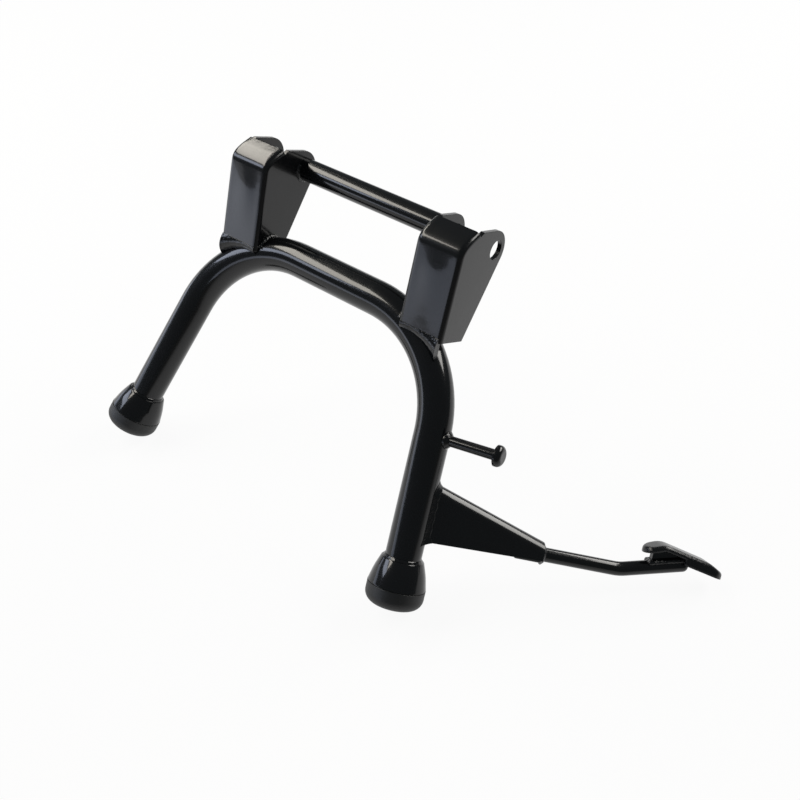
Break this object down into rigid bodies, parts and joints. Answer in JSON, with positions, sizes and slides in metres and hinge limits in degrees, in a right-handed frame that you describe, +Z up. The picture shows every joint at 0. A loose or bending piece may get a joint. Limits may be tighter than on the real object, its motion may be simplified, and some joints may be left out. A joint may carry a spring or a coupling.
{
  "type": "motorcycle centre stand",
  "caption": "Welded tubular centre stand: bent arch with splayed legs, folded pivot brackets, domed feet, spring post and foot pedal.",
  "frame": {"origin": "middle of the pivot bore's axis", "axes": "+X along the pivot axis to the pedal side (the motorcycle's left), +Y to the rear, +Z up, in the pose of the picture with both feet and the tread's tip at one height"},
  "size_m": [0.5843, 0.2336, 0.2892],
  "materials": {
    "gloss_paint": "gloss",
    "satin_paint": "satin"
  },
  "bodies": {
    "root": {"main_tube": "gloss_paint", "left_bracket": "gloss_paint", "right_bracket": "gloss_paint", "pivot_tube": "gloss_paint", "left_foot_bell": "gloss_paint", "right_foot_bell": "gloss_paint", "left_foot_sole": "satin_paint", "right_foot_sole": "satin_paint", "spring_post": "gloss_paint", "pedal_gusset": "gloss_paint", "pedal_arm": "gloss_paint", "pedal_tread": "gloss_paint", "tread_rib": "gloss_paint", "left_web_weld": "gloss_paint", "right_web_weld": "gloss_paint", "left_flange_weld": "gloss_paint", "right_flange_weld": "gloss_paint", "left_pivot_weld": "gloss_paint", "right_pivot_weld": "gloss_paint", "left_foot_weld": "gloss_paint", "right_foot_weld": "gloss_paint", "spring_post_weld": "gloss_paint", "gusset_weld": "gloss_paint", "arm_weld": "gloss_paint", "tread_weld": "gloss_paint", "rib_weld": "gloss_paint", "front_skirt_weld": "gloss_paint", "rear_skirt_weld": "gloss_paint"}
  },
  "joints": []
}
